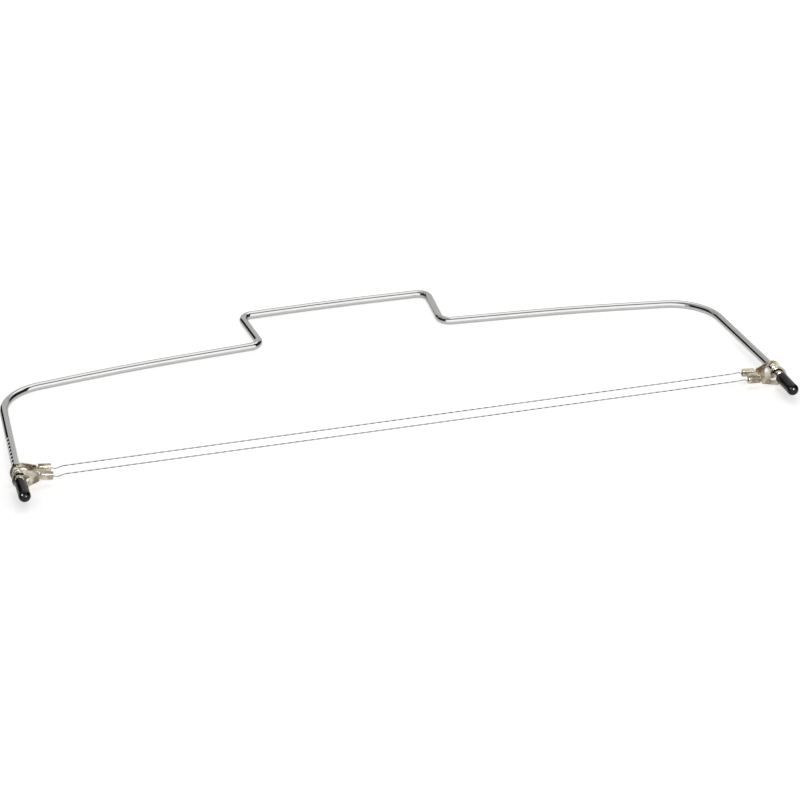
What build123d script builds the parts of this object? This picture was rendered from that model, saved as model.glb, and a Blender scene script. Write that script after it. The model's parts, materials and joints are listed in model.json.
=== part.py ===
from build123d import *
import os
from math import acos, asin, atan2, cos, degrees, hypot, radians, sin

# Cake leveler: one bent bow of round rod that keeps two thin cutting wires taut.
# It lies flat on its side, as it is put down between cakes. The feet point to -Y,
# the raised handle is at +Y and +Z is up. Lengths are millimetres, angles degrees.
#
# The bow is drawn in its own flat plane first, with X across, Y up the legs from
# the cut ends of the rod and Z = 0 through the rod's axis. The last step leans the
# bow until it rests on its lower tabs and its handle, and puts the origin at the
# middle of the bottom of the whole object's box.

# Bow rod
rod_diameter = 5.0
foot_span = 467.0
foot_toe = 1.55
bend_height = 35.7
leg_toe = 7.9
corner_height = 128.9
bar_rise = 19.5
handle_rise = 42.0
handle_span = 121.5
riser_flare = 2.95
bar_arch = 2.9
handle_crown = 1.8
bend_radius = 150.0
corner_radius = 31.4
riser_radius = 7.0
arch_round_share = 0.38
crown_round_share = 0.68
rod_end_chamfer = 0.6

# Notches in the outer side of each leg, turned a little towards its upper face and
# counted from the lower wire upwards
notch_pitch = 4.3
notch_width = 2.0
notch_depth = 1.15
notch_turn = 20.0
notch_count = 12
upper_wire_notch = 2
lower_wire_travel_notches = 1

# Vinyl foot caps
cap_length = 20.0
cap_diameter = 7.2
cap_tip_wall = 1.9
cap_rim_round = 0.4

# Sheet metal tabs: a ring round the leg, a tapering blade and a rolled crimp barrel,
# which stands a little askew to the blade
sheet = 0.9
ring_radius = 6.0
slot_clearance = 0.35
blade_length = 11.3
blade_end_width = 5.2
neck_length = 1.1
neck_width = 2.8
crimp_skew = 10.0
barrel_width = 4.3
barrel_height = 3.7
barrel_length = 7.2
barrel_corner_radius = 0.5
wing_arch_share = 0.96
seam_gap = 0.1

# Cutting wires
wire_diameter = 0.6
lower_wire_height = 21.9
upper_tab_droop = 0.9
lower_tab_droop = 2.9
wire_tail = 0.7
crook_start = 0.8
crook_peak_reach = 2.6
crook_peak_rise = 0.75
crook_reach = 7.0
crook_rise = 0.4
crook_radius = 1.8

# Overrun of the cutting tools past the metal that they cut
overrun = 1.0

# Sizes worked out from the values above
rod_radius = rod_diameter / 2
wire_radius = wire_diameter / 2
notch_radius = notch_width / 2
slot_radius = rod_radius + slot_clearance
bend_span = foot_span - 2 * foot_toe
corner_span = bend_span - 2 * leg_toe
riser_foot_span = handle_span - 2 * riser_flare
riser_foot_height = corner_height + bar_rise
handle_height = riser_foot_height + handle_rise
crimp_length = neck_length + barrel_length
wire_offset = sheet / 2 + wire_radius
lower_tab_height = lower_wire_height - wire_offset
upper_tab_height = lower_tab_height + upper_wire_notch * notch_pitch
upper_wire_travel = (notch_count - 1 - upper_wire_notch) * notch_pitch
lower_wire_travel = lower_wire_travel_notches * notch_pitch


def half_span_at(height):
    """Distance of a leg's axis from the middle plane at a height up the leg."""
    low, high = (foot_span / 2, 0), (bend_span / 2, bend_height)
    if height > bend_height:
        low, high = high, (corner_span / 2, corner_height)
    share = (height - low[1]) / (high[1] - low[1])
    return low[0] + (high[0] - low[0]) * share


# How far a leg moves inwards past its tab while the upper wire goes to the top notch
slot_drift = half_span_at(upper_tab_height) - half_span_at(upper_tab_height + upper_wire_travel)

# A taut wire turns each tab on its leg until the mouth of the askew crimp is in line
mouth_side = crimp_length * sin(radians(crimp_skew))
mouth_along = blade_length + crimp_length * cos(radians(crimp_skew))
mouth_turn = degrees(atan2(mouth_side, mouth_along))
mouth_reach = hypot(mouth_side, mouth_along)


def bow_path():
    """Centre line of the rod from the left foot over the handle to the right foot."""
    corner = (corner_span / 2, corner_height)
    riser_foot = (riser_foot_span / 2, riser_foot_height)
    arch = ((corner[0] + riser_foot[0]) / 2, (corner[1] + riser_foot[1]) / 2 + bar_arch)
    right = [
        (handle_span / 2, handle_height),
        riser_foot,
        arch,
        corner,
        (bend_span / 2, bend_height),
        (foot_span / 2, 0),
    ]
    left = [(-x, y) for x, y in reversed(right)]
    half_bar = (corner[0] - riser_foot[0]) / 2
    arch_radius = arch_round_share * half_bar**2 / bar_arch
    crown_radius = crown_round_share * (handle_span / 2) ** 2 / handle_crown
    radii = [riser_radius, riser_radius, arch_radius, corner_radius, bend_radius]
    points = left + [(0, handle_height + handle_crown)] + right
    return FilletPolyline(*points, radius=radii[::-1] + [crown_radius] + radii)


def bow_frame():
    """The bent rod with its rows of notches."""
    path = bow_path()
    start = Plane(origin=path @ 0, z_dir=path % 0)
    rod = sweep(start * Circle(rod_radius), path=path)
    ends = rod.faces().sort_by(Axis.Y)[:2].edges()
    rod = chamfer(ends, rod_end_chamfer)
    cutter = Cylinder(notch_radius, rod_diameter + overrun)
    reach = rod_radius - notch_depth + notch_radius
    for side in (-1, 1):
        turned = Rot(0, -side * notch_turn, 0) * Pos(side * reach, 0, 0) * cutter
        for index in range(notch_count):
            height = lower_tab_height + index * notch_pitch
            rod -= Pos(side * half_span_at(height), height, 0) * turned
    return rod


def foot_cap(side):
    """A dipped vinyl cap with a domed end, pushed on to the end of a leg."""
    outer = cap_diameter / 2
    rim = cap_length - cap_tip_wall
    dome_centre = outer - cap_tip_wall
    outline = [
        CenterArc((0, dome_centre), outer, -90, 90),
        Line((outer, dome_centre), (outer, rim - cap_rim_round)),
        CenterArc((outer - cap_rim_round, rim - cap_rim_round), cap_rim_round, 0, 90),
        Line((outer - cap_rim_round, rim), (rod_radius, rim)),
        Line((rod_radius, rim), (rod_radius, 0)),
        Line((rod_radius, 0), (0, 0)),
        Line((0, 0), (0, -cap_tip_wall)),
    ]
    cap = revolve(make_face(Curve() + outline), Axis.Y)
    toe = degrees(atan2((foot_span - bend_span) / 2, bend_height))
    return Pos(side * foot_span / 2, 0, 0) * Rot(0, 0, side * toe) * cap


def crimp_profile():
    """Section of the rolled barrel: a floor, two walls and wings curled on to the wire."""
    wall = (barrel_width - sheet) / 2
    wing = (sheet + seam_gap) / 2
    crest = barrel_height - sheet
    wing_tip = sheet / 2 + wire_diameter
    half = [(wing_tip, wing), (crest, wing), (crest, wall), (0, wall)]
    other_half = [(x, -y) for x, y in reversed(half)]
    arch_radius = wing_arch_share * (wall - wing) / 2
    radii = [arch_radius, arch_radius, barrel_corner_radius]
    strip = FilletPolyline(*half, *other_half, radius=radii + radii[::-1])
    return trace(strip, line_width=sheet)


def crimp_tab():
    """A tab with its ring round Y, its crimp open to +Y and the crimp's mouth on +X."""
    ring_middle = slot_drift / 2
    tip = (blade_length, blade_end_width / 2)
    along, aside = tip[0] - ring_middle, tip[1]
    tangent = atan2(aside, along) + acos(ring_radius / hypot(along, aside))
    shoulder = (ring_middle + ring_radius * cos(tangent), ring_radius * sin(tangent))
    blade = make_face(
        Polyline(
            shoulder,
            tip,
            (tip[0], -tip[1]),
            (shoulder[0], -shoulder[1]),
            close=True,
        )
    )
    neck_root = neck_width / 2
    neck = Pos((neck_length - neck_root) / 2, 0) * Rectangle(neck_length + neck_root, neck_width)
    neck = Pos(blade_length, 0) * Rot(0, 0, -crimp_skew) * neck
    ring = Pos(ring_middle, 0) * Circle(ring_radius)
    slot = Pos(ring_middle, 0) * SlotCenterToCenter(slot_drift, 2 * slot_radius)
    plate = extrude(Plane.XZ * (ring + blade + neck - slot), sheet / 2, both=True)
    section = Plane(origin=(neck_length, 0, 0), x_dir=(0, 1, 0), z_dir=(1, 0, 0))
    barrel = extrude(section * crimp_profile(), barrel_length)
    barrel = Pos(blade_length, 0, 0) * Rot(0, crimp_skew, 0) * barrel
    return Rot(0, -mouth_turn, 0) * (plate + barrel)


def tab_place(side, height, droop):
    """Where a tab stands on its leg. The right one is the same part, turned over."""
    turn = droop if side < 0 else 180 - droop
    return Pos(side * half_span_at(height), height, 0) * Rot(0, turn, 0)


def wire_end(side, height, droop):
    """Points of the wire from inside a crimp out to its straight run, in the XZ plane."""
    slope = radians(crimp_skew - mouth_turn)
    place = Plane(tab_place(side, height, droop))
    mouth = place.from_local_coords((mouth_reach, 0, 0))
    points = []
    for step in (-barrel_length - wire_tail, crook_start):
        local = (mouth_reach + step * cos(slope), 0, -step * sin(slope))
        point = place.from_local_coords(local)
        points.append((point.X, point.Z))
    points.append((mouth.X - side * crook_peak_reach, mouth.Z + side * crook_peak_rise))
    points.append((mouth.X - side * crook_reach, mouth.Z + crook_rise))
    return points


def cutting_wire(height, droop):
    """A taut wire with a small crook where it leaves each crimp."""
    points = wire_end(-1, height, droop) + wire_end(1, height, droop)[::-1]
    path = Plane.XZ * FilletPolyline(*points, radius=crook_radius)
    start = Plane(origin=path @ 0, z_dir=path % 0)
    return sweep(start * Circle(wire_radius), path=path)


def cutter_set(name, height, droop):
    """One wire with its two tabs, at its height up the legs, by node name."""
    tab = crimp_tab()
    return {
        name + "_left_tab": tab_place(-1, height, droop) * tab,
        name + "_right_tab": tab_place(1, height, droop) * tab,
        name + "_wire": Pos(0, height + wire_offset, 0) * cutting_wire(height, droop),
    }


def resting_lean():
    """Lean of the bow on a table, which touches the handle and the lower tabs."""
    run = handle_height - lower_tab_height
    return degrees(atan2(ring_radius, run) - asin(rod_radius / hypot(run, ring_radius)))


nodes = {"bow_frame": bow_frame(), "left_foot_cap": foot_cap(-1), "right_foot_cap": foot_cap(1)}
nodes.update(cutter_set("upper", upper_tab_height, upper_tab_droop))
nodes.update(cutter_set("lower", lower_tab_height, lower_tab_droop))

lean = resting_lean()
leaning = {name: Rot(-lean, 0, 0) * solid for name, solid in nodes.items()}
box = Compound(list(leaning.values())).bounding_box()
to_origin = Pos(0, -(box.min.Y + box.max.Y) / 2, -box.min.Z)

os.makedirs("parts", exist_ok=True)
for name, solid in leaning.items():
    export_step(to_origin * solid, f"parts/{name}.step")

print("lean", lean, "shift", to_origin.position, "travel", upper_wire_travel, lower_wire_travel)
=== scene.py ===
"""Cake leveler: a chromed bow that keeps two twisted cutting wires taut between its legs.

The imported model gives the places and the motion. This script builds the finished pieces
over it, gives each its surface, and lights them as on a white product table. Every length
is in metres. A piece is drawn in the flat plane of the bow, with X across, Y up the legs
from the cut ends of the rod and Z = 0 through the rod's axis, and is then leaned on to
the table with the rest.
"""

import json
import logging
from collections.abc import Sequence
from dataclasses import dataclass, field
from enum import Enum
from functools import cached_property
from math import acos, atan2, ceil, cos, hypot, pi, radians, sin, tan
from typing import Any

import bmesh
import bpy
from bmesh.types import BMEdge, BMesh, BMVert
from bpy.types import ID, Material, Node, NodeOutputs, NodeSocket, NodeTree, Object, World
from mathutils import Matrix, Vector

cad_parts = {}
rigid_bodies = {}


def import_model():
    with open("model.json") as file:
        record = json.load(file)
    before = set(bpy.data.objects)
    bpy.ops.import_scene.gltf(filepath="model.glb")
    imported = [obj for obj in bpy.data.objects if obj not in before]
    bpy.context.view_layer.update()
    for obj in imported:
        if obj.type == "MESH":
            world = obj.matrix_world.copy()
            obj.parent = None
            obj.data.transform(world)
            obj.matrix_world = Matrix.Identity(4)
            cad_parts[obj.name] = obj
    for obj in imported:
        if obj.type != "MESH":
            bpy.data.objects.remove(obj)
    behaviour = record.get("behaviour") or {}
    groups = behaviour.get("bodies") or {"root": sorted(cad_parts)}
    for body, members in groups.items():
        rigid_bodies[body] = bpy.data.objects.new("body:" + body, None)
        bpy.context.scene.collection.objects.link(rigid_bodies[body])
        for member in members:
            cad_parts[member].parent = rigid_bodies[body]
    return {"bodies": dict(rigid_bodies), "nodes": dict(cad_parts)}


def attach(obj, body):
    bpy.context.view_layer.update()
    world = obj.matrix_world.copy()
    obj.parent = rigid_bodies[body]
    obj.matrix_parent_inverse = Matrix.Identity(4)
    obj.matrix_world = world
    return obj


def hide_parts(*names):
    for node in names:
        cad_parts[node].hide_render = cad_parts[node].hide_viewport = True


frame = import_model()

FULL_TURN = 2 * pi
WHITE = (1, 1, 1, 1)

# The face attribute that a finish's mark tone follows
MARKED = "marked"

# Points nearer than the first are one point drawn twice, and a shorter edge is none
TWIN_GAP = 1e-6
NO_LENGTH = 1e-7

Triple = tuple[float, float, float]

log = logging.getLogger("cake_leveler")


class Side(Enum):
    """The two legs of the bow, as the signs of their X."""

    LEFT = -1
    RIGHT = 1


class Body(Enum):
    """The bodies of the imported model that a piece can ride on."""

    BOW = "bow"
    UPPER = "upper_cutter"
    LOWER = "lower_cutter"


# Drawing tools: each one shapes a mesh by extruding and spinning what it drew last


@dataclass(frozen=True)
class Feed:
    """A straight run of rod or wire."""

    length: float


@dataclass(frozen=True)
class Bend:
    """A bend of rod or wire round an axis that stands across its plane."""

    radius: float
    turn: float
    axis: Vector


def bending_plan(corners: Sequence[Vector], radii: Sequence[float]) -> list[Feed | Bend]:
    """Turns the corners of a line into the feeds and bends that a wire bender makes.

    Args:
        corners: the points of the line, its two ends among them.
        radii: the bend radius at each point between the ends.

    Returns:
        The runs and bends in order.
    """
    plan: list[Feed | Bend] = []
    used = 0.0
    for before, corner, after, radius in zip(corners, corners[1:], corners[2:], radii):
        arriving, leaving = corner - before, after - corner
        turn = arriving.angle(leaving)
        setback = radius * tan(turn / 2)
        plan.append(Feed(arriving.length - used - setback))
        plan.append(Bend(radius, turn, arriving.cross(leaving).normalized()))
        used = setback
    plan.append(Feed((corners[-1] - corners[-2]).length - used))
    return plan


def extruded(mesh: BMesh, edges: Sequence[BMEdge], step: Vector) -> list[BMEdge]:
    """Extrudes a row of edges by one step.

    Args:
        mesh: the mesh that holds them.
        edges: the row.
        step: the way from the row to the new one.

    Returns:
        The new row.
    """
    made = bmesh.ops.extrude_edge_only(mesh, edges=edges)["geom"]
    verts = {item for item in made if isinstance(item, BMVert)}
    bmesh.ops.translate(mesh, vec=step, verts=list(verts))
    return [item for item in made if isinstance(item, BMEdge) and set(item.verts) <= verts]


def spun(mesh: BMesh, geom: Sequence[Any], kind: type, **how: Any) -> list[Any]:
    """Spins part of a mesh that stays open and returns what of a kind lies at its end."""
    made = bmesh.ops.spin(mesh, geom=geom, use_merge=False, **how)["geom_last"]
    return [item for item in made if isinstance(item, kind)]


def rounded(
    mesh: BMesh, geom: Sequence[Any], affect: str, width: float, steps: int
) -> None:
    """Bevels the edges or the corners of a mesh."""
    bmesh.ops.bevel(
        mesh,
        geom=geom,
        offset=width,
        segments=steps,
        profile=0.5,
        affect=affect,
        material=-1,
    )


@dataclass
class Bender:
    """Draws round sections along a plan of feeds, bends and twists.

    Attributes:
        mesh: the mesh that it draws in.
        place: where the sections are now.
        heading: the way they go, of length 1.
        bend_step: the most that one step of a bend turns.
        fewest_steps: the fewest steps in a bend.
        front: the edges that it draws on from.
    """

    mesh: BMesh
    place: Vector
    heading: Vector
    bend_step: float = radians(4)
    fewest_steps: int = 3
    front: list[BMEdge] = field(default_factory=list)

    def add_section(self, radius: float, segments: int, aside: Vector) -> None:
        """Sets a round section beside the line, facing along it.

        Args:
            radius: the section's radius.
            segments: the number of its sides.
            aside: the way from the line to the section's middle.
        """
        facing = self.heading.to_track_quat("Z", "Y").to_matrix().to_4x4()
        place = Matrix.Translation(self.place + aside) @ facing
        made = bmesh.ops.create_circle(
            self.mesh, segments=segments, radius=radius, matrix=place
        )
        rim = (edge for vert in made["verts"] for edge in vert.link_edges)
        self.front += dict.fromkeys(rim)

    def feed(self, length: float) -> None:
        """Draws a straight run of a length."""
        along = self.heading * length
        self.front = extruded(self.mesh, self.front, along)
        self.place = self.place + along

    def bend(self, bend: Bend) -> None:
        """Draws one bend and turns the heading with it.

        Args:
            bend: its radius, its turn and its axis.
        """
        centre = self.place + bend.axis.cross(self.heading) * bend.radius
        steps = max(self.fewest_steps, ceil(bend.turn / self.bend_step))
        arc = {"cent": centre, "axis": bend.axis, "angle": bend.turn, "steps": steps}
        self.front = spun(self.mesh, self.front, BMEdge, **arc)
        turn = Matrix.Rotation(bend.turn, 3, bend.axis)
        self.place = centre + turn @ (self.place - centre)
        self.heading = turn @ self.heading

    def twist(self, lay: float, turns: int, steps: int) -> None:
        """Draws a straight run in which the sections wind round each other.

        Args:
            lay: the length of one full turn.
            turns: the number of full turns.
            steps: the number of rows of faces in one full turn.
        """
        start = set(self.mesh.faces)
        screw = {"cent": self.place, "axis": self.heading, "angle": FULL_TURN}
        screw |= {"dvec": self.heading * (lay / steps), "steps": steps}
        spun(self.mesh, self.front, BMEdge, **screw)
        one_lay = [face for face in self.mesh.faces if face not in start]
        for turn in range(1, turns):
            copied = bmesh.ops.duplicate(self.mesh, geom=one_lay)["geom"]
            verts = [item for item in copied if isinstance(item, BMVert)]
            bmesh.ops.translate(self.mesh, vec=self.heading * (lay * turn), verts=verts)
        bmesh.ops.remove_doubles(self.mesh, verts=self.mesh.verts[:], dist=TWIN_GAP)
        self.place = self.place + self.heading * (lay * turns)
        end, way = self.place, self.heading
        self.front = [
            edge
            for edge in self.mesh.edges
            if edge.is_boundary
            and all(abs((vert.co - end).dot(way)) < TWIN_GAP for vert in edge.verts)
        ]

    def run(self, plan: Sequence[Feed | Bend], lay: float = 0.0, steps: int = 0) -> None:
        """Draws a whole plan.

        Args:
            plan: its feeds and bends in order.
            lay: about the length of a turn of the twist in the longest run, or 0.
            steps: the number of rows of faces in one turn of it.
        """
        longest = max(part.length for part in plan if isinstance(part, Feed))
        for part in plan:
            if isinstance(part, Bend):
                self.bend(part)
            elif lay and part.length == longest:
                turns = round(longest / lay)
                self.twist(longest / turns, turns, steps)
            else:
                self.feed(part.length)

    def close_ends(self) -> None:
        """Fills the open ends and points every face outwards."""
        ends = [edge for edge in self.mesh.edges if edge.is_boundary]
        bmesh.ops.holes_fill(self.mesh, edges=ends, sides=0)
        bmesh.ops.recalc_face_normals(self.mesh, faces=self.mesh.faces[:])


@dataclass
class Pen:
    """Draws a flat outline in the XY plane by moving and spinning one vertex."""

    mesh: BMesh
    first: BMVert
    tip: BMVert

    @classmethod
    def at(cls, mesh: BMesh, x: float, y: float) -> "Pen":
        """Puts the pen down at a point of a mesh."""
        start = mesh.verts.new((x, y, 0))
        return cls(mesh, start, start)

    def line(self, x: float, y: float) -> None:
        """Draws a straight line to a point."""
        self.tip = bmesh.ops.extrude_vert_indiv(self.mesh, verts=[self.tip])["verts"][0]
        self.tip.co = (x, y, 0)

    def arc(self, x: float, y: float, turn: float, steps: int) -> None:
        """Draws an arc round a centre.

        Args:
            x: the centre's X.
            y: the centre's Y.
            turn: the angle of the arc, above 0 to the left.
            steps: the number of its straight pieces.
        """
        arc = {"cent": (x, y, 0), "axis": (0, 0, 1), "angle": turn, "steps": steps}
        self.tip = spun(self.mesh, [self.tip], BMVert, **arc)[0]

    def close(self) -> None:
        """Joins the pen's tip to its first point."""
        if (self.tip.co - self.first.co).length > NO_LENGTH:
            self.mesh.edges.new((self.tip, self.first))


def turned_on_y(mesh: BMesh, segments: int) -> None:
    """Turns an outline in the XY plane round the Y axis into a closed solid.

    Args:
        mesh: the mesh that holds the outline.
        segments: the number of sides of the solid.
    """
    bmesh.ops.spin(
        mesh,
        geom=mesh.verts[:] + mesh.edges[:],
        axis=(0, 1, 0),
        angle=FULL_TURN,
        steps=segments,
        use_merge=True,
    )
    bmesh.ops.remove_doubles(mesh, verts=mesh.verts[:], dist=TWIN_GAP)
    bmesh.ops.dissolve_degenerate(mesh, edges=mesh.edges[:], dist=NO_LENGTH)
    bmesh.ops.recalc_face_normals(mesh, faces=mesh.faces[:])


def add_to_scene(name: str, data: ID) -> Object:
    """Makes an object and puts it in the scene.

    Args:
        name: the object's name.
        data: its mesh, lamp or camera.

    Returns:
        The new object.
    """
    item = bpy.data.objects.new(name, data)
    bpy.context.scene.collection.objects.link(item)
    return item


def mesh_object(name: str, mesh: BMesh) -> Object:
    """Makes an object of a drawn mesh and frees the drawing.

    Args:
        name: the object's name.
        mesh: the drawn mesh.

    Returns:
        The new object, with nothing on it.
    """
    data = bpy.data.meshes.new(name)
    mesh.to_mesh(data)
    mesh.free()
    return add_to_scene(name, data)


def settle(piece: Object) -> None:
    """Makes the result of a piece's modifiers its own mesh, and marks its second material.

    Args:
        piece: the object, whose notches or rounded edges have the second material.
    """
    bpy.context.view_layer.update()
    graph = bpy.context.evaluated_depsgraph_get()
    settled = bpy.data.meshes.new_from_object(piece.evaluated_get(graph))
    piece.modifiers.clear()
    piece.data = settled
    marks = settled.attributes.new(MARKED, "FLOAT", "FACE")
    for face, mark in zip(settled.polygons, marks.data):
        mark.value = float(face.material_index > 0)
        face.material_index = 0


# Materials


Colour = Triple
Input = NodeSocket | float | Sequence[float]


class Shader:
    """A node tree with short ways to add nodes and join them."""

    def __init__(self, tree: NodeTree) -> None:
        """Keeps the tree that it adds to."""
        self.tree = tree

    def give(self, socket: NodeSocket, value: Input) -> None:
        """Sets or joins an input.

        Args:
            socket: the input.
            value: the output that it is joined to, or its plain value.
        """
        if isinstance(value, NodeSocket):
            self.tree.links.new(value, socket)
        else:
            socket.default_value = value

    def add(
        self, kind: str, numbered: dict[int, Input] | None = None, **values: Any
    ) -> Node:
        """Adds a node and sets or joins its inputs.

        Args:
            kind: the node's type name.
            numbered: inputs by number.
            **values: inputs by name with _ for a space, or the node's own settings.

        Returns:
            The new node.
        """
        node = self.tree.nodes.new(kind)
        for name, value in values.items():
            socket = node.inputs.get(name.replace("_", " "))
            if socket is None:
                setattr(node, name, value)
            else:
                self.give(socket, value)
        for index, value in (numbered or {}).items():
            self.give(node.inputs[index], value)
        return node

    def group(self, tree: NodeTree, **values: Input) -> NodeSocket:
        """Adds a shared group, gives it its inputs and returns its output."""
        return self.add("ShaderNodeGroup", node_tree=tree, **values).outputs[0]

    def math(self, operation: str, first: Input, second: Input) -> NodeSocket:
        """Works out a number from two others and returns it."""
        node = self.add("ShaderNodeMath", {0: first, 1: second}, operation=operation)
        return node.outputs[0]

    def mix(self, share: Input, low: Input, high: Input) -> NodeSocket:
        """Mixes two colours by the share of the second and returns the mix."""
        # The node's Factor, its A and B for colours, and its Result for them
        node = self.add("ShaderNodeMix", {0: share, 6: low, 7: high}, data_type="RGBA")
        return node.outputs[2]

    def noise(self, place: NodeSocket, **values: Input) -> NodeSocket:
        """Adds noise that follows a place and returns its value."""
        return self.add("ShaderNodeTexNoise", Vector=place, **values).outputs[0]

    def spread(self, value: NodeSocket, low: float, high: float, **ends: Any) -> NodeSocket:
        """Spreads what lies between two levels over 0 to 1, or over other ends."""
        ends |= {"Value": value, "From_Min": low, "From_Max": high}
        return self.add("ShaderNodeMapRange", **ends).outputs[0]

    def sum_of(self, first: Node, second: Node) -> Node:
        """Adds the surfaces of two nodes together and returns the node of both."""
        return self.add("ShaderNodeAddShader", {0: first.outputs[0], 1: second.outputs[0]})

    def put_out(self, value: NodeSocket) -> NodeTree:
        """Ends a shared group with its one output and returns the group."""
        self.give(self.tree.nodes.new("NodeGroupOutput").inputs[0], value)
        return self.tree


def emptied(data: Material | World) -> Shader:
    """Empties the node tree of a material or a world and returns a shader on it."""
    data.use_nodes = True
    data.node_tree.nodes.clear()
    return Shader(data.node_tree)


class Port(Enum):
    """The kinds of input and output that a shared group has."""

    VALUE = "NodeSocketFloat"
    VECTOR = "NodeSocketVector"
    COLOUR = "NodeSocketColor"


def open_group(
    name: str, result: str, kind: Port, **ports: Port
) -> tuple[Shader, NodeOutputs]:
    """Starts a shared node group, which is always given a vector too.

    Args:
        name: the group's name.
        result: its output's name.
        kind: its output's kind.
        **ports: the kinds of its other inputs by name, with _ for a space.

    Returns:
        A shader on the new group's tree, and what the group is given.
    """
    tree = bpy.data.node_groups.new(name, "ShaderNodeTree")
    for label, port in {"Vector": Port.VECTOR, **ports}.items():
        label = label.replace("_", " ")
        tree.interface.new_socket(label, in_out="INPUT", socket_type=port.value)
    tree.interface.new_socket(result, in_out="OUTPUT", socket_type=kind.value)
    return Shader(tree), tree.nodes.new("NodeGroupInput").outputs


class SharedEffects:
    """The node groups that more than one finish uses, each built once."""

    @cached_property
    def blotches(self) -> NodeTree:
        """Soft uneven patches, as of handling and wiping, between two values."""
        ports = {name: Port.VALUE for name in ("Scale", "Low", "High")}
        shader, given = open_group("blotches", "Value", Port.VALUE, **ports)
        place, scale = given["Vector"], given["Scale"]
        noise = shader.noise(place, Scale=scale, Detail=4.0, Roughness=0.62)
        ends = {"To_Min": given["Low"], "To_Max": given["High"]}
        return shader.put_out(shader.spread(noise, 0.34, 0.68, **ends))

    @cached_property
    def hairlines(self) -> NodeTree:
        """Long fine scratches, which run across the stretch's large numbers."""
        shader, given = open_group("hairlines", "Height", Port.VALUE, Stretch=Port.VECTOR)
        sides = {0: given["Vector"], 1: given["Stretch"]}
        drawn = shader.add("ShaderNodeVectorMath", sides, operation="MULTIPLY")
        fine = shader.noise(drawn.outputs[0], Scale=1.0, Detail=3.0)
        return shader.put_out(shader.spread(fine, 0.42, 0.6))

    @cached_property
    def tone_drift(self) -> NodeTree:
        """A slow drift between two tones; on the tabs the second tone is a dark brown that
        is painted shade.
        """
        ports = {"Scale": Port.VALUE, "Tone_A": Port.COLOUR, "Tone_B": Port.COLOUR}
        shader, given = open_group("tone_drift", "Color", Port.COLOUR, **ports)
        noise = shader.noise(given["Vector"], Scale=given["Scale"], Detail=2.0)
        share = shader.spread(noise, 0.35, 0.65)
        return shader.put_out(shader.mix(share, given["Tone A"], given["Tone B"]))

    @cached_property
    def marked_faces(self) -> NodeTree:
        """An uneven mask on the faces that a mesh marks."""
        ports = {"Scale": Port.VALUE, "Amount": Port.VALUE}
        shader, given = open_group("marked_faces", "Mask", Port.VALUE, **ports)
        marked = shader.add("ShaderNodeAttribute", attribute_name=MARKED)
        noise = shader.noise(given["Vector"], Scale=given["Scale"], Detail=3.0)
        broken = shader.math("MULTIPLY", marked.outputs["Fac"], noise)
        worn = shader.math("MULTIPLY", broken, given["Amount"])
        return shader.put_out(shader.math("MINIMUM", worn, 1.0))


@dataclass(frozen=True)
class Finish:
    """A surface with slow tone changes, uneven roughness and a fine relief.

    Attributes:
        name: the material's name.
        tone: its main colour.
        tone_beside: the colour that it drifts to.
        metal: whether it is metal.
        roughness: its lowest and highest roughness.
        blotch_scale: how many blotches fit in a metre.
        hairline_stretch: the number of hairlines in a metre along X, Y and Z.
        relief: the depth of its fine relief.
        mark_tone: the colour of its marked faces, or none.
        mark_amount: how fully the marked faces take that colour.
        mark_scale: how many specks of it fit in a metre.
        specular: the level of its plain reflection where it isn't metal.
    """

    name: str
    tone: Colour
    tone_beside: Colour
    metal: bool
    roughness: tuple[float, float]
    blotch_scale: float
    hairline_stretch: Triple
    relief: float
    mark_tone: Colour | None = None
    mark_amount: float = 1.4
    mark_scale: float = 900.0
    specular: float = 0.5

    def material(self, effects: SharedEffects) -> Material:
        """Builds the material from the shared effects.

        Args:
            effects: the shared node groups.

        Returns:
            The new material.
        """
        material = bpy.data.materials.new(self.name)
        material.use_nodes = True
        shader = Shader(material.node_tree)
        surface = material.node_tree.nodes["Principled BSDF"]
        place = shader.add("ShaderNodeTexCoord").outputs["Object"]
        tones = {"Tone_A": (*self.tone, 1.0), "Tone_B": (*self.tone_beside, 1.0)}
        scale, (low, high) = self.blotch_scale, self.roughness
        colour = shader.group(effects.tone_drift, Vector=place, Scale=scale / 2, **tones)
        levels = {"Scale": scale, "Low": low, "High": high}
        rough = shader.group(effects.blotches, Vector=place, **levels)
        lines = shader.group(effects.hairlines, Vector=place, Stretch=self.hairline_stretch)
        bump = shader.add("ShaderNodeBump", Height=lines, Distance=self.relief)
        if self.mark_tone is not None:
            specks = {"Scale": self.mark_scale, "Amount": self.mark_amount}
            marks = shader.group(effects.marked_faces, Vector=place, **specks)
            colour = shader.mix(marks, colour, (*self.mark_tone, 1.0))
        for name, value in (
            ("Base Color", colour),
            ("Roughness", rough),
            ("Normal", bump.outputs[0]),
            ("Metallic", float(self.metal)),
            ("Specular IOR Level", self.specular),
        ):
            shader.give(surface.inputs[name], value)
        return material


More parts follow.
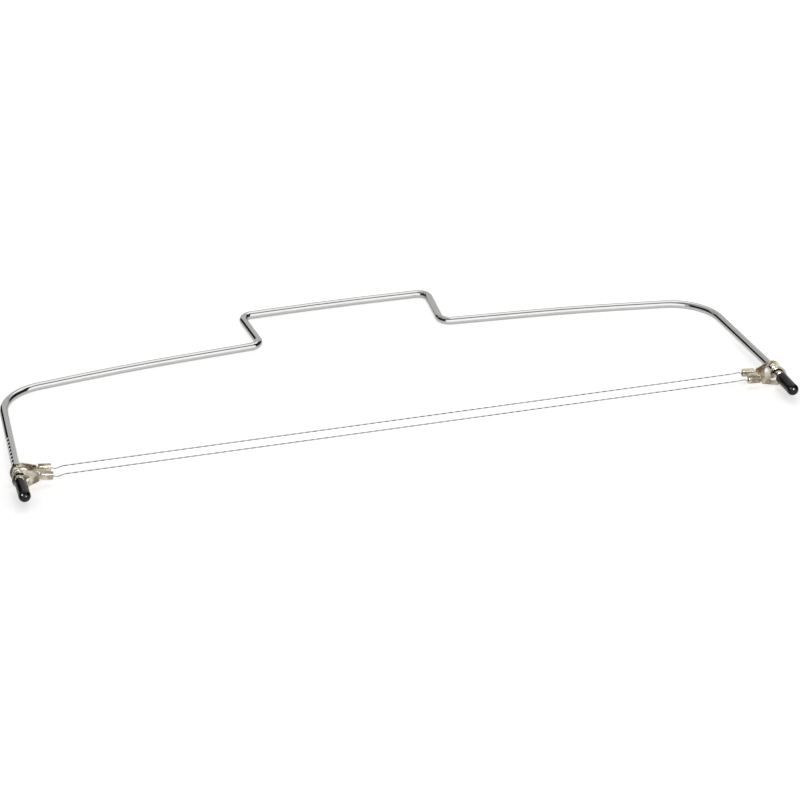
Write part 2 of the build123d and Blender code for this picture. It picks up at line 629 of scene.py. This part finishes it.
CHROME = Finish(
    name="polished_chrome",
    tone=(0.672, 0.667, 0.66),
    tone_beside=(0.645, 0.64, 0.63),
    metal=True,
    roughness=(0.035, 0.075),
    blotch_scale=130,
    hairline_stretch=(500, 900, 500),
    relief=0.0000012,
    # The notch faces take a near-white tone: a painted highlight that makes the notches
    # show as bright bands on the legs
    mark_tone=(0.93, 0.93, 0.93),
    mark_amount=1.9,
)
NICKEL = Finish(
    name="nickel_plated_sheet",
    tone=(0.90, 0.83, 0.69),
    # The dark brown that the tabs drift to is painted shade, in random patches over the
    # cream
    tone_beside=(0.27, 0.225, 0.17),
    metal=True,
    roughness=(0.07, 0.19),
    blotch_scale=360,
    hairline_stretch=(400, 3800, 3800),
    relief=0.0000022,
    # The rounded edges take a dark brown tone: painted shade along the tab's edges
    mark_tone=(0.30, 0.25, 0.19),
)
VINYL = Finish(
    name="dipped_black_vinyl",
    tone=(0.0050, 0.0035, 0.0042),
    tone_beside=(0.016, 0.0095, 0.0125),
    metal=False,
    roughness=(0.12, 0.19),
    blotch_scale=260,
    hairline_stretch=(900, 900, 900),
    relief=0.000012,
    specular=0.34,
)
WIRE = Finish(
    name="drawn_steel_wire",
    tone=(0.20, 0.20, 0.205),
    tone_beside=(0.13, 0.13, 0.135),
    metal=True,
    roughness=(0.22, 0.34),
    blotch_scale=300,
    hairline_stretch=(500, 6000, 6000),
    relief=0.000006,
)


# The object's own pieces


@dataclass(frozen=True)
class BowPlane:
    """The flat plane that the bow is drawn in, leaned as it rests on the table.

    Attributes:
        lean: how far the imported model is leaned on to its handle.
        shift: how far it is then moved to its origin.
    """

    lean: float = radians(1.1844966)
    shift: Vector = field(default_factory=lambda: Vector((0, -0.0960726, 0.00675871)))

    def to_table(self) -> Matrix:
        """Returns the matrix from the bow's plane to the table."""
        return Matrix.Translation(self.shift) @ Matrix.Rotation(-self.lean, 4, "X")


@dataclass
class Workshop:
    """Turns finished meshes into pieces of the scene.

    Attributes:
        plane: how the bow's plane lies on the table.
        effects: the shared node groups.
        crease: the angle past which an edge stays sharp.
        materials: the materials that it has made, by name.
    """

    plane: BowPlane
    effects: SharedEffects
    crease: float = radians(40)
    materials: dict[str, Material] = field(default_factory=dict)

    def material(self, finish: Finish) -> Material:
        """Returns the finish's material, made the first time it is asked for."""
        made = self.materials.get(finish.name) or finish.material(self.effects)
        return self.materials.setdefault(finish.name, made)

    def dress(
        self, piece: Object, finish: Finish, body: Body, node: str
    ) -> None:
        """Puts a piece on the table, gives it its surface and joins it to its body.

        Args:
            piece: the object, its mesh still in the bow's plane.
            finish: its surface.
            body: the body that it rides on.
            node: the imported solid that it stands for.
        """
        mesh = piece.data
        mesh.transform(self.plane.to_table())
        mesh.materials.clear()
        mesh.materials.append(self.material(finish))
        mesh.shade_smooth()
        mesh.set_sharp_from_angle(angle=self.crease)
        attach(piece, body.value)
        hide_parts(node)
        log.info("%s: %d faces on body %s", piece.name, len(mesh.polygons), body.value)


@dataclass
class BentBow:
    """The bow: one length of chromed rod with a row of notches in each leg."""

    rod_radius: float = 0.0025
    rod_sides: int = 64
    foot_half_span: float = 0.2335
    foot_toe: float = 0.00155
    bend_height: float = 0.0357
    leg_toe: float = 0.0079
    corner_height: float = 0.1289
    bar_rise: float = 0.0195
    handle_rise: float = 0.042
    handle_half_span: float = 0.06075
    riser_flare: float = 0.00295
    bar_arch: float = 0.0029
    handle_crown: float = 0.0018
    bend_radius: float = 0.150
    corner_radius: float = 0.0314
    riser_radius: float = 0.007
    arch_round_share: float = 0.38
    crown_round_share: float = 0.68
    end_chamfer: float = 0.0006
    chamfer_steps: int = 2
    first_notch_height: float = 0.02115
    notch_pitch: float = 0.0043
    notch_radius: float = 0.001
    notch_depth: float = 0.00115
    notch_turn: float = radians(20)
    notch_count: int = 12
    notch_sides: int = 32
    resting_notch: int = 2

    def notch_height(self, index: int) -> float:
        """Returns the height of a notch, counted from the lower wire upwards."""
        return self.first_notch_height + index * self.notch_pitch

    def half_span_at(self, height: float) -> float:
        """Finds a leg's axis.

        Args:
            height: the height up the leg.

        Returns:
            How far the axis is from the middle there.
        """
        if height <= self.bend_height:
            return self.foot_half_span - self.foot_toe * height / self.bend_height
        share = (height - self.bend_height) / (self.corner_height - self.bend_height)
        return self.foot_half_span - self.foot_toe - self.leg_toe * share

    def corners(self) -> tuple[list[Vector], list[float]]:
        """Lays out the corners of the bow's centre line.

        Returns:
            The points from the left foot to the right one, and the bend radii between.
        """
        corner = Vector((self.half_span_at(self.corner_height), self.corner_height, 0))
        riser_foot_span = self.handle_half_span - self.riser_flare
        riser_foot = Vector((riser_foot_span, self.corner_height + self.bar_rise, 0))
        arch = (corner + riser_foot) / 2 + Vector((0, self.bar_arch, 0))
        half_bar = (corner.x - riser_foot.x) / 2
        handle_height = riser_foot.y + self.handle_rise
        right = [
            Vector((self.handle_half_span, handle_height, 0)),
            riser_foot,
            arch,
            corner,
            Vector((self.half_span_at(self.bend_height), self.bend_height, 0)),
            Vector((self.foot_half_span, 0, 0)),
        ]
        left = [Vector((-point.x, point.y, 0)) for point in reversed(right)]
        crown = Vector((0, handle_height + self.handle_crown, 0))
        arch_radius = self.arch_round_share * half_bar**2 / self.bar_arch
        crown_radius = self.crown_round_share * self.handle_half_span**2 / self.handle_crown
        radii = [self.riser_radius, self.riser_radius, arch_radius]
        radii += [self.corner_radius, self.bend_radius]
        return [*left, crown, *right], [*reversed(radii), crown_radius, *radii]

    def rod(self) -> BMesh:
        """Bends the rod.

        Returns:
            The rod's mesh, with its chamfered ends and without its notches.
        """
        mesh = bmesh.new()
        points, radii = self.corners()
        heading = (points[1] - points[0]).normalized()
        bender = Bender(mesh, points[0].copy(), heading)
        bender.add_section(self.rod_radius, self.rod_sides, Vector())
        bender.run(bending_plan(points, radii))
        bender.close_ends()
        ends = [face for face in mesh.faces if len(face.verts) == self.rod_sides]
        rims = [edge for face in ends for edge in face.edges]
        rounded(mesh, rims, "EDGES", self.end_chamfer, self.chamfer_steps)
        return mesh

    def notch_cutters(self) -> BMesh:
        """Makes the round cutters of all the notches.

        Returns:
            Their mesh, across the plane of the bow.
        """
        mesh = bmesh.new()
        radius = self.notch_radius
        reach = self.rod_radius - self.notch_depth + radius
        for side in Side:
            turn = Matrix.Rotation(-side.value * self.notch_turn, 4, "Y")
            aside = turn @ Matrix.Translation((side.value * reach, 0, 0))
            for index in range(self.notch_count):
                height = self.notch_height(index)
                leg = Vector((side.value * self.half_span_at(height), height, 0))
                place = Matrix.Translation(leg) @ aside
                bmesh.ops.create_cone(
                    mesh,
                    cap_ends=True,
                    segments=self.notch_sides,
                    radius1=radius,
                    radius2=radius,
                    depth=3 * self.rod_radius,
                    matrix=place,
                )
        return mesh

    def build(self, shop: Workshop) -> None:
        """Builds the notched bow and dresses it in chrome.

        Args:
            shop: the workshop that dresses it.
        """
        bow = mesh_object("chromed_bow", self.rod())
        cutters = mesh_object("notch_cutters", self.notch_cutters())
        for item in (bow, cutters):
            item.data.materials.append(bpy.data.materials.new(item.name))
        cut = bow.modifiers.new("notches", "BOOLEAN")
        cut.operation = "DIFFERENCE"
        cut.solver = "EXACT"
        cut.material_mode = "TRANSFER"
        cut.object = cutters
        settle(bow)
        bpy.data.objects.remove(cutters)
        shop.dress(bow, CHROME, Body.BOW, "bow_frame")


@dataclass
class DippedCap:
    """A black vinyl cap with a domed end, pushed on to the end of a leg."""

    side: Side
    bow: BentBow
    length: float = 0.020
    radius: float = 0.0036
    tip_wall: float = 0.0019
    rim_round: float = 0.0004
    waist: float = 0.00007
    bead: float = 0.0013
    sides: int = 64
    dome_steps: int = 14
    rim_steps: int = 5

    def shell(self) -> BMesh:
        """Turns the cap's outline round the leg.

        Returns:
            The cap's mesh with the leg along Y and the rod's cut end at Y = 0.
        """
        mesh = bmesh.new()
        dome_centre = self.radius - self.tip_wall
        rim = self.length - self.tip_wall
        waist_radius = self.radius - self.waist
        lip = self.radius - self.rim_round
        pen = Pen.at(mesh, 0, -self.tip_wall)
        pen.arc(0, dome_centre, pi / 2, self.dome_steps)
        pen.line(waist_radius, dome_centre + self.bead)
        pen.line(waist_radius, rim - 2 * self.bead)
        pen.line(self.radius, rim - self.bead)
        pen.line(self.radius, rim - self.rim_round)
        pen.arc(lip, rim - self.rim_round, pi / 2, self.rim_steps)
        pen.line(self.bow.rod_radius, rim)
        pen.line(self.bow.rod_radius, 0)
        pen.line(0, 0)
        turned_on_y(mesh, self.sides)
        return mesh

    def build(self, shop: Workshop) -> None:
        """Builds the cap on its leg and dresses it in vinyl.

        Args:
            shop: the workshop that dresses it.
        """
        mesh = self.shell()
        sign = self.side.value
        toe = atan2(self.bow.foot_toe, self.bow.bend_height)
        foot = Matrix.Translation((sign * self.bow.foot_half_span, 0, 0))
        mesh.transform(foot @ Matrix.Rotation(sign * toe, 4, "Z"))
        side = self.side.name.lower()
        cap = mesh_object(f"{side}_vinyl_cap", mesh)
        shop.dress(cap, VINYL, Body.BOW, f"{side}_foot_cap")


@dataclass
class CrimpTab:
    """A stamped sheet metal tab: a slotted ring, a tapering blade and a rolled crimp.

    It is drawn flat in the XY plane with its ring round Z, its crimp's mouth on +X and
    the crimp open to -Z, and is then stood up on its leg.
    """

    bow: BentBow
    sheet: float = 0.0009
    ring_radius: float = 0.006
    slot_clearance: float = 0.00035
    blade_length: float = 0.0113
    blade_end_width: float = 0.0052
    neck_length: float = 0.0011
    neck_width: float = 0.0028
    crimp_skew: float = radians(10)
    barrel_width: float = 0.0043
    barrel_height: float = 0.0037
    barrel_length: float = 0.0072
    barrel_corner_radius: float = 0.0005
    wing_arch_share: float = 0.96
    seam_gap: float = 0.0001
    wire_diameter: float = 0.0006
    edge_round: float = 0.00012
    edge_steps: int = 3
    edge_angle: float = radians(50)
    ring_steps: int = 56
    slot_steps: int = 24
    roll_steps: int = 6
    barrel_rows: int = 12

    @property
    def slot_drift(self) -> float:
        """How far a leg moves inwards past its tab up to the top notch."""
        low = self.bow.notch_height(self.bow.resting_notch)
        high = self.bow.notch_height(self.bow.notch_count - 1)
        return self.bow.half_span_at(low) - self.bow.half_span_at(high)

    @property
    def mouth(self) -> Vector:
        """The middle of the crimp's mouth before the tab is turned in line."""
        reach = self.neck_length + self.barrel_length
        along = self.blade_length + reach * cos(self.crimp_skew)
        return Vector((along, 0, -reach * sin(self.crimp_skew)))

    @property
    def mouth_turn(self) -> float:
        """The turn that brings the mouth in line with the leg."""
        return atan2(-self.mouth.z, self.mouth.x)

    def draw_plate(self, mesh: BMesh) -> None:
        """Draws the ring, blade and neck as one flat face with its slot.

        Args:
            mesh: the mesh that it draws in.
        """
        middle = self.slot_drift / 2
        tip = self.blade_end_width / 2
        along = self.blade_length - middle
        reach = hypot(along, tip)
        tangent = atan2(tip, along) + acos(self.ring_radius / reach)
        shoulder = self.ring_radius * cos(tangent), self.ring_radius * sin(tangent)
        pen = Pen.at(mesh, middle + shoulder[0], shoulder[1])
        pen.arc(middle, 0, FULL_TURN - 2 * tangent, self.ring_steps)
        pen.line(self.blade_length, -tip)
        neck = self.neck_width / 2
        floor = self.barrel_width / 2 - self.sheet / 2 - self.barrel_corner_radius
        pen.line(self.blade_length, -neck / cos(self.crimp_skew))
        turn = Matrix.Rotation(-self.crimp_skew, 3, "Z")
        for side in (-floor, floor):
            end = turn @ Vector((self.neck_length, side, 0))
            pen.line(self.blade_length + end.x, end.y)
        pen.line(self.blade_length, neck / cos(self.crimp_skew))
        pen.line(self.blade_length, tip)
        pen.close()
        hole = self.bow.rod_radius + self.slot_clearance
        slot = Pen.at(mesh, 0, hole)
        slot.arc(0, 0, pi, self.slot_steps)
        slot.line(self.slot_drift, -hole)
        slot.arc(self.slot_drift, 0, pi, self.slot_steps)
        slot.close()
        bmesh.ops.triangle_fill(mesh, use_beauty=True, edges=mesh.edges[:])

    def draw_barrel(self, mesh: BMesh) -> None:
        """Rolls the crimp: a floor, two walls and two wings curled on to the wire.

        Args:
            mesh: the mesh that it draws in.
        """
        wall = (self.barrel_width - self.sheet) / 2
        wing = (self.sheet + self.seam_gap) / 2
        crest = self.barrel_height - self.sheet
        wing_tip = self.sheet / 2 + self.wire_diameter
        half = [(wing_tip, wing), (crest, wing), (crest, wall), (0, wall)]
        outline = half + [(depth, -aside) for depth, aside in reversed(half)]
        rolled = bmesh.new()
        pen = Pen.at(rolled, *outline[0])
        for point in outline[1:]:
            pen.line(*point)
        arch_radius = self.wing_arch_share * (wall - wing) / 2
        floor_corners = [vert for vert in rolled.verts if vert.co.x < wing_tip / 2]
        crest_corners = [vert for vert in rolled.verts if vert.co.x > crest - wing_tip / 2]
        floor_radius = self.barrel_corner_radius
        rounded(rolled, crest_corners, "VERTICES", arch_radius, self.roll_steps)
        rounded(rolled, floor_corners, "VERTICES", floor_radius, self.roll_steps)
        row = Vector((0, 0, self.barrel_length / self.barrel_rows))
        front = rolled.edges[:]
        for _ in range(self.barrel_rows):
            front = extruded(rolled, front, row)
        lie_along_x = Matrix(((0, 0, 1, 0), (0, 1, 0, 0), (-1, 0, 0, 0), (0, 0, 0, 1)))
        neck = Matrix.Translation((self.neck_length, 0, 0))
        blade = Matrix.Translation((self.blade_length, 0, 0))
        skew = Matrix.Rotation(-self.crimp_skew, 4, "Z")
        rolled.transform(blade @ skew @ neck @ lie_along_x)
        held = bpy.data.meshes.new("rolled")
        rolled.to_mesh(held)
        rolled.free()
        mesh.from_mesh(held)
        bpy.data.meshes.remove(held)

    def sheet_metal(self, shop: Workshop, name: str) -> Object:
        """Cuts and rolls the tab from sheet.

        Args:
            shop: the workshop that makes the object.
            name: the object's name.

        Returns:
            The tab with its ring round Y, still at the middle of the bow's plane.
        """
        mesh = bmesh.new()
        self.draw_plate(mesh)
        self.draw_barrel(mesh)
        bmesh.ops.remove_doubles(mesh, verts=mesh.verts[:], dist=2 * TWIN_GAP)
        bmesh.ops.recalc_face_normals(mesh, faces=mesh.faces[:])
        stand_up = Matrix.Rotation(pi / 2, 4, "X")
        in_line = Matrix.Rotation(-self.mouth_turn, 4, "Y")
        mesh.transform(in_line @ stand_up)
        tab = mesh_object(name, mesh)
        thick = tab.modifiers.new("thickness", "SOLIDIFY")
        thick.thickness = self.sheet
        thick.offset = 0
        thick.use_even_offset = True
        edges = tab.modifiers.new("stamped_edges", "BEVEL")
        edges.width = self.edge_round
        edges.segments = self.edge_steps
        edges.limit_method = "ANGLE"
        edges.angle_limit = self.edge_angle
        edges.material = 1
        # The second slot keeps the rounded edges apart until settle marks them
        for _ in range(2):
            tab.data.materials.append(shop.material(NICKEL))
        settle(tab)
        return tab

    def placing(self, side: Side, height: float, droop: float) -> Matrix:
        """Finds the place of a tab. The right one is the same part, turned over.

        Args:
            side: the leg that it hangs on.
            height: its height up the leg.
            droop: how far its mouth hangs down.

        Returns:
            The matrix from the middle of the bow's plane to that place.
        """
        turn = droop if side is Side.LEFT else pi - droop
        reach = side.value * self.bow.half_span_at(height)
        return Matrix.Translation((reach, height, 0)) @ Matrix.Rotation(turn, 4, "Y")


@dataclass
class CutterSet:
    """One twisted wire with the two tabs that hold it.

    Attributes:
        height: the height of its tabs up the legs.
        droop: how far the mouths of its tabs hang down.
    """

    name: str
    body: Body
    tab: CrimpTab
    height: float
    droop: float
    wire_radius: float = 0.0003
    strand_sides: int = 10
    lay: float = 0.0087
    lay_steps: int = 20
    wire_tail: float = 0.0007
    crook_start: float = 0.0008
    crook_peak_reach: float = 0.0026
    crook_peak_rise: float = 0.00075
    crook_reach: float = 0.007
    crook_rise: float = 0.0004
    crook_radius: float = 0.0018
    crook_step: float = radians(6)

    def wire_end(self, side: Side) -> list[Vector]:
        """Lays out the wire from inside a crimp to its straight run.

        Args:
            side: the leg that the crimp hangs on.

        Returns:
            Four points of the wire's centre line.
        """
        place = self.tab.placing(side, self.height, self.droop)
        reach = self.tab.mouth.length
        slope = self.tab.crimp_skew - self.tab.mouth_turn
        mouth = place @ Vector((reach, 0, 0))
        rise = Vector((0, self.tab.sheet / 2 + self.wire_radius, 0))
        points = []
        for step in (-self.tab.barrel_length - self.wire_tail, self.crook_start):
            local = Vector((reach + step * cos(slope), 0, -step * sin(slope)))
            points.append(place @ local + rise)
        sign = side.value
        peak = Vector((-sign * self.crook_peak_reach, 0, sign * self.crook_peak_rise))
        straight = Vector((-sign * self.crook_reach, 0, self.crook_rise))
        return [*points, mouth + peak + rise, mouth + straight + rise]

    def wire(self, shop: Workshop) -> None:
        """Twists the wire's two strands and dresses them in bare steel.

        Args:
            shop: the workshop that dresses them.
        """
        points = self.wire_end(Side.LEFT) + self.wire_end(Side.RIGHT)[::-1]
        plan = bending_plan(points, [self.crook_radius] * (len(points) - 2))
        mesh = bmesh.new()
        heading = (points[1] - points[0]).normalized()
        bender = Bender(mesh, points[0].copy(), heading, bend_step=self.crook_step)
        strand = self.wire_radius / 2
        for sign in (-1, 1):
            bender.add_section(strand, self.strand_sides, Vector((0, sign * strand, 0)))
        bender.run(plan, self.lay, self.lay_steps)
        bender.close_ends()
        wire = mesh_object(f"{self.name}_twisted_wire", mesh)
        shop.dress(wire, WIRE, self.body, f"{self.name}_wire")

    def build(self, shop: Workshop) -> None:
        """Builds the wire and both tabs.

        Args:
            shop: the workshop that dresses them.
        """
        self.wire(shop)
        for side in Side:
            label = f"{self.name}_{side.name.lower()}"
            tab = self.tab.sheet_metal(shop, f"{label}_crimp_tab")
            tab.data.transform(self.tab.placing(side, self.height, self.droop))
            shop.dress(tab, NICKEL, self.body, f"{label}_tab")


# The product table


@dataclass(frozen=True)
class Card:
    """A flat card that only mirrors see: a white panel, a black flag or a lamp.

    Attributes:
        faces: the point that it faces.
        glow: how bright it looks, where 1 is white paper on the table.
        lights: the pieces that it shows in, or none where every mirror shows it.
    """

    name: str
    centre: Triple
    size: tuple[float, float]
    faces: Triple
    glow: float
    lights: Sequence[str] = ()

    def paint(self) -> Material:
        """Makes the card's surface. A lamp is clear, so that nothing behind it is hidden.

        Returns:
            The new material.
        """
        material = bpy.data.materials.new(self.name)
        shader = emptied(material)
        surface = shader.add("ShaderNodeEmission", Color=WHITE, Strength=self.glow)
        if self.lights:
            air = shader.add("ShaderNodeBsdfTransparent", Color=WHITE)
            surface = shader.sum_of(surface, air)
        shader.add("ShaderNodeOutputMaterial", Surface=surface.outputs[0])
        return material

    def build(self) -> None:
        """Stands the card in the studio, hidden from the camera and from soft light."""
        mesh = bmesh.new()
        # One metre square at first, so that its size is its scale
        bmesh.ops.create_grid(mesh, x_segments=1, y_segments=1, size=0.5)
        bmesh.ops.scale(mesh, vec=(*self.size, 1), verts=mesh.verts[:])
        look = Vector(self.faces) - Vector(self.centre)
        turn = look.to_track_quat("Z", "Y").to_matrix().to_4x4()
        mesh.transform(Matrix.Translation(self.centre) @ turn)
        card = mesh_object(self.name, mesh)
        card.data.materials.append(self.paint())
        card.visible_camera = False
        card.visible_diffuse = False
        card.visible_transmission = False
        card.visible_shadow = False
        if self.lights:
            lit = bpy.data.collections.new(self.name)
            for name in self.lights:
                lit.objects.link(bpy.data.objects[name])
            card.light_linking.receiver_collection = lit


@dataclass
class ProductTable:
    """A seamless white table under soft light, with the cards that the chrome mirrors.

    Attributes:
        front_lift: what the camera sees added to the floor in front of the wires.
        back_lift: the same behind them, higher: a painted glow that washes out the bars'
            shadows on the table.
        painted_glow_from: the Y where the one starts to turn into the other.
        painted_glow_to: the Y where it has done so.
        mirror_lift: what mirrors see added to the floor.
        ambient: the strength of the light all round.
    """

    floor_size: float = 16.0
    floor_squares: int = 8
    floor_tone: float = 0.90
    front_lift: float = 0.505
    back_lift: float = 0.64
    painted_glow_from: float = -0.045
    painted_glow_to: float = 0.015
    mirror_lift: float = 0.28
    gloss_roughness: float = 0.35
    gloss_index: float = 1.45
    ambient: float = 0.50
    key_power: float = 9.0
    key_size: float = 0.9
    key_place: Triple = (0.72, 1.30, 2.60)

    def cards(self) -> list[Card]:
        """Lists the cards round the table.

        Returns:
            The panels and flags, then the lamps of the caps and tabs.
        """
        left = ("left_vinyl_cap", "upper_left_crimp_tab", "lower_left_crimp_tab")
        right = ("right_vinyl_cap", "upper_right_crimp_tab", "lower_right_crimp_tab")
        return [
            Card("front_panel", (0.3, -2.0, 0.95), (5.0, 2.3), (0, 0, 0.6), 1.42),
            Card("overhead_panel", (0.72, 0.75, 1.6), (1.2, 2.0), (0.72, 0.75, 0), 1.28),
            Card("far_wall", (0, 2.6, 0.8), (6.0, 2.2), (0, 0, 0.8), 0.62),
            Card("dark_gap", (0, -0.31, 1.2), (3.0, 0.32), (0, -0.31, 0), 0.01),
            Card("gap_flare", (1.0, -0.16, 1.2), (1.0, 0.56), (1.0, -0.16, 0), 0.01),
            Card("standing_flag", (-0.65, 0.93, 0.33), (0.53, 0.66), (0, 0, 0.33), 0.01),
            Card("left_flag", (-1.5, 0.0, 0.85), (2.2, 1.7), (0, 0, 0.85), 0.02),
            Card("right_flag", (1.5, 0.0, 0.85), (2.2, 1.7), (0, 0, 0.85), 0.02),
            Card("left_lamp", (-1.31, -0.51, 0.80), (0.6, 0.6), (0, 0, 0), 32.0, left),
            Card("left_fill", (0.26, -1.34, 0.41), (0.5, 0.5), (0, 0, 0), 18.0, left),
            Card("right_lamp", (0.30, -1.30, 0.72), (0.5, 0.5), (0, 0, 0), 46.0, right),
            Card("right_fill", (-0.88, -0.42, 0.79), (0.5, 0.5), (0, 0, 0), 12.0, right),
        ]

    def floor(self) -> None:
        """Lays the white table top, which keeps the object's shadow at the feet; behind the
        wires a painted glow washes out the bars' shadows.
        """
        mesh = bmesh.new()
        rows, half = self.floor_squares, self.floor_size / 2
        bmesh.ops.create_grid(mesh, x_segments=rows, y_segments=rows, size=half)
        floor = mesh_object("table_top", mesh)
        material = bpy.data.materials.new("white_table_top")
        shader = emptied(material)
        paper = shader.add("ShaderNodeBsdfDiffuse", Color=(*[self.floor_tone] * 3, 1))
        path = shader.add("ShaderNodeLightPath").outputs
        place = shader.add("ShaderNodeTexCoord").outputs["Object"]
        back = shader.add("ShaderNodeSeparateXYZ", Vector=place).outputs["Y"]
        # The camera sees a painted glow that rises from front_lift to back_lift across Y,
        # washing out the bars' shadows while keeping those at the feet
        painted_glow = shader.spread(
            back,
            self.painted_glow_from,
            self.painted_glow_to,
            To_Min=self.front_lift,
            To_Max=self.back_lift,
            interpolation_type="SMOOTHSTEP",
        )
        seen = shader.math("MULTIPLY", path["Is Camera Ray"], painted_glow)
        mirrored = shader.math("MULTIPLY", path["Is Glossy Ray"], self.mirror_lift)
        lift = shader.math("ADD", seen, mirrored)
        light = shader.add("ShaderNodeEmission", Color=WHITE, Strength=lift)
        matt = shader.sum_of(paper, light)
        gloss = shader.add("ShaderNodeBsdfGlossy", Roughness=self.gloss_roughness)
        grazing = shader.add("ShaderNodeFresnel", IOR=self.gloss_index).outputs[0]
        share = shader.math("MULTIPLY", grazing, path["Is Glossy Ray"])
        layers = {1: matt.outputs[0], 2: gloss.outputs[0]}
        table = shader.add("ShaderNodeMixShader", layers, Fac=share)
        shader.add("ShaderNodeOutputMaterial", Surface=table.outputs[0])
        floor.data.materials.append(material)

    def sky(self) -> None:
        """Gives the soft light all round, and white behind the table's far edge."""
        world = bpy.data.worlds.new("soft_room")
        bpy.context.scene.world = world
        shader = emptied(world)
        path = shader.add("ShaderNodeLightPath")
        lift = shader.math("MULTIPLY", path.outputs["Is Camera Ray"], 1 - self.ambient)
        level = shader.math("ADD", lift, self.ambient)
        room = shader.add("ShaderNodeBackground", Color=WHITE, Strength=level)
        shader.add("ShaderNodeOutputWorld", Surface=room.outputs[0])

    def key_light(self) -> None:
        """Hangs the lamp behind the object, high and to the right."""
        lamp = bpy.data.lights.new("key_lamp", "AREA")
        lamp.energy = self.key_power
        lamp.size = self.key_size
        key = add_to_scene("key_lamp", lamp)
        key.location = self.key_place
        key.rotation_euler = Vector(self.key_place).to_track_quat("Z", "Y").to_euler()

    def build(self) -> None:
        """Sets up the whole table."""
        self.floor()
        self.sky()
        self.key_light()
        for card in self.cards():
            card.build()
            log.info("card %s", card.name)


@dataclass(frozen=True)
class Viewpoint:
    """The camera of the product picture."""

    lens: float = 156.594
    sensor: float = 36.0
    place: Triple = (-0.51223, -1.78592, 1.00404)
    ahead: Triple = (0.24857, 0.84065, -0.48116)
    above: Triple = (0.13009, 0.46328, 0.87661)
    nearest: float = 0.05
    farthest: float = 60.0

    def build(self) -> None:
        """Sets up the camera."""
        data = bpy.data.cameras.new("product_camera")
        data.lens = self.lens
        data.sensor_width = self.sensor
        data.clip_start = self.nearest
        data.clip_end = self.farthest
        camera = add_to_scene("product_camera", data)
        ahead, above = Vector(self.ahead).normalized(), Vector(self.above)
        aside = ahead.cross(above).normalized()
        turn = Matrix((aside, aside.cross(ahead), -ahead)).transposed()
        camera.matrix_world = Matrix.Translation(self.place) @ turn.to_4x4()
        bpy.context.scene.camera = camera


def clear_starting_objects() -> None:
    """Removes what an empty file starts with, such as its cube."""
    own = {*frame["nodes"].values(), *frame["bodies"].values()}
    for item in list(bpy.data.objects):
        if item not in own:
            bpy.data.objects.remove(item)


def main() -> None:
    """Builds and dresses every piece, then the table and the camera."""
    logging.basicConfig(level=logging.INFO, format="%(name)s: %(message)s")
    clear_starting_objects()
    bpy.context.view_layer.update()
    bpy.context.scene.view_settings.view_transform = "Standard"
    shop = Workshop(BowPlane(), SharedEffects())
    bow = BentBow()
    bow.build(shop)
    for side in Side:
        DippedCap(side, bow).build(shop)
    tab = CrimpTab(bow)
    upper_height = bow.notch_height(bow.resting_notch)
    CutterSet("upper", Body.UPPER, tab, upper_height, droop=radians(0.9)).build(shop)
    CutterSet("lower", Body.LOWER, tab, bow.notch_height(0), droop=radians(2.9)).build(shop)
    ProductTable().build()
    Viewpoint().build()


if __name__ == "__main__":
    main()
